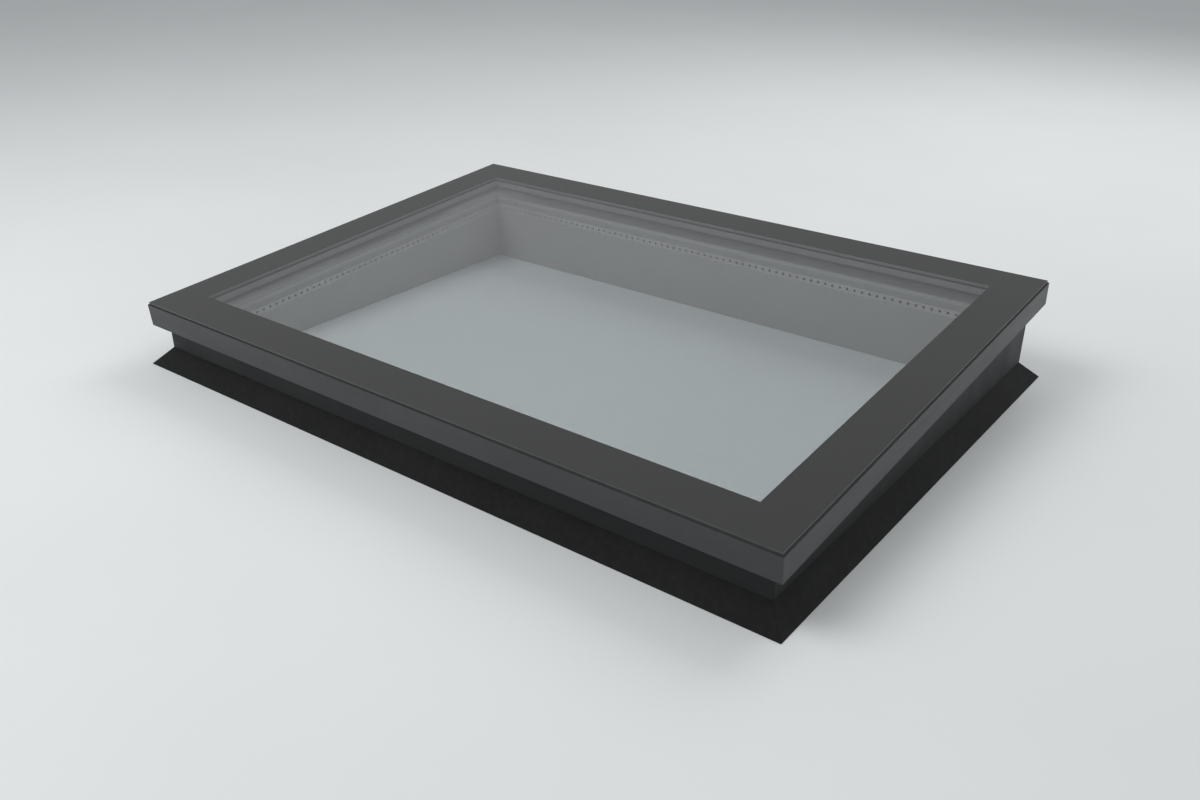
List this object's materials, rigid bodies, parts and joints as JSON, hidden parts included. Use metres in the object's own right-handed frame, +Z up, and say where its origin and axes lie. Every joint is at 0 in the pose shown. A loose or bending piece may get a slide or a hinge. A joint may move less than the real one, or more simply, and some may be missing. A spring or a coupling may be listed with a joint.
{
  "type": "fixed flat roof skylight",
  "caption": "Fixed flat-glass roof skylight with a black printed border, an aluminium glazing frame, a sloping insulated kerb and a splayed flashing skirt.",
  "frame": {"origin": "centre of the rectangular footprint, on the roof deck", "axes": "+Z up, +X along the long side, -Y towards the low side of the glass"},
  "size_m": [1.406, 1.006, 0.198],
  "materials": {
    "outer_glass": "grey solar-control float glass, polished",
    "inner_glass": "clear float and laminated glass, polished",
    "border_enamel": "black ceramic enamel fired onto the glass",
    "spacer_bar": "dark grey warm-edge spacer",
    "black_sealant": "satin black sealant",
    "black_rubber": "matt black extruded rubber",
    "gasket_rubber": "dark grey matt extruded rubber",
    "block_rubber": "moulded black blocks",
    "foam_tape": "black closed-cell foam tape",
    "base_foam": "black closed-cell foam seal",
    "frame_powder_coat": "anthracite satin powder coat",
    "ledge_plastic": "pale grey matt plastic",
    "cleat_aluminium": "cast, bead blasted",
    "zinc_steel": "bright zinc plate",
    "rail_timber": "planed softwood",
    "rail_plastic": "mid grey foamed plastic, planed",
    "strip_paint": "pale grey satin paint",
    "foam_core": "rigid cellular foam",
    "skin_coat": "dark grey satin moulded skin",
    "liner_board": "pale grey foil-faced board",
    "skirt_coat": "near-black matt coating"
  },
  "bodies": {
    "root": {"outer_pane": "outer_glass", "printed_border": "border_enamel", "upper_spacer": "spacer_bar", "middle_pane": "inner_glass", "lower_spacer": "spacer_bar", "inner_pane": "inner_glass", "edge_sealant": "black_sealant", "weather_seal": "black_rubber", "glazing_gasket": "gasket_rubber", "setting_blocks": "block_rubber", "corner_cleats": "cleat_aluminium", "frame_tape": "foam_tape", "frame_screws": "zinc_steel", "corner_plates": "zinc_steel", "threaded_inserts": "zinc_steel", "frame_front": "frame_powder_coat", "frame_right": "frame_powder_coat", "frame_back": "frame_powder_coat", "frame_left": "frame_powder_coat", "ledge_front": "ledge_plastic", "ledge_right": "ledge_plastic", "ledge_back": "ledge_plastic", "ledge_left": "ledge_plastic", "head_rail_front": "rail_plastic", "head_rail_right": "rail_plastic", "head_rail_back": "rail_plastic", "head_rail_left": "rail_plastic", "vent_strip_front": "strip_paint", "vent_strip_right": "strip_paint", "vent_strip_back": "strip_paint", "vent_strip_left": "strip_paint", "kerb_core_front": "foam_core", "kerb_core_right": "foam_core", "kerb_core_back": "foam_core", "kerb_core_left": "foam_core", "kerb_skin_front": "skin_coat", "kerb_skin_right": "skin_coat", "kerb_skin_back": "skin_coat", "kerb_skin_left": "skin_coat", "liner_front": "liner_board", "liner_right": "liner_board", "liner_back": "liner_board", "liner_left": "liner_board", "base_rail_front": "rail_timber", "base_rail_right": "rail_timber", "base_rail_back": "rail_timber", "base_rail_left": "rail_timber", "base_seal_front": "base_foam", "base_seal_right": "base_foam", "base_seal_back": "base_foam", "base_seal_left": "base_foam", "skirt_front": "skirt_coat", "skirt_right": "skirt_coat", "skirt_back": "skirt_coat", "skirt_left": "skirt_coat"}
  },
  "joints": []
}
